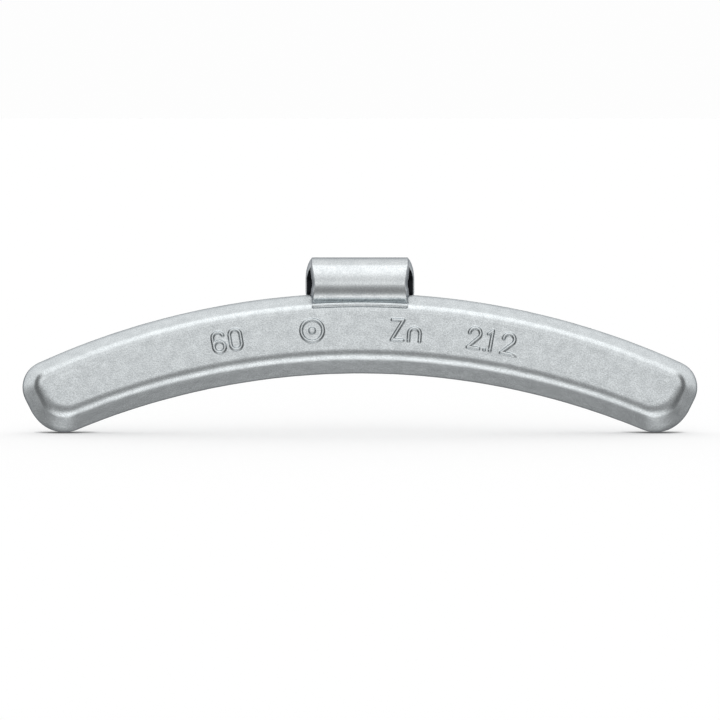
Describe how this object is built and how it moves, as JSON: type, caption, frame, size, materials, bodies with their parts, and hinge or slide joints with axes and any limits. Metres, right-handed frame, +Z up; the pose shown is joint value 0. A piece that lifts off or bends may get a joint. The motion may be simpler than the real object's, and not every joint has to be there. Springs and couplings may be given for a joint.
{
  "type": "wheel balance weight",
  "caption": "Clip-on wheel balance weight: a curved zinc casting with a spring-steel hook that grips the rim flange.",
  "frame": {"origin": "under the middle of the weight, at the height of its two lowest points and at mid depth of the clip", "axes": "+X along the weight's length, +Z up from the arch to the clip, -Y out of the lettered front face, +Y out of the flat back"},
  "size_m": [0.1248, 0.0094, 0.0324],
  "materials": {
    "zinc": "fine-grained matte cast zinc, silver grey",
    "clip_steel": "satin plated spring steel"
  },
  "bodies": {
    "root": {"weight_body": "zinc", "rim_clip": "clip_steel"}
  },
  "joints": []
}
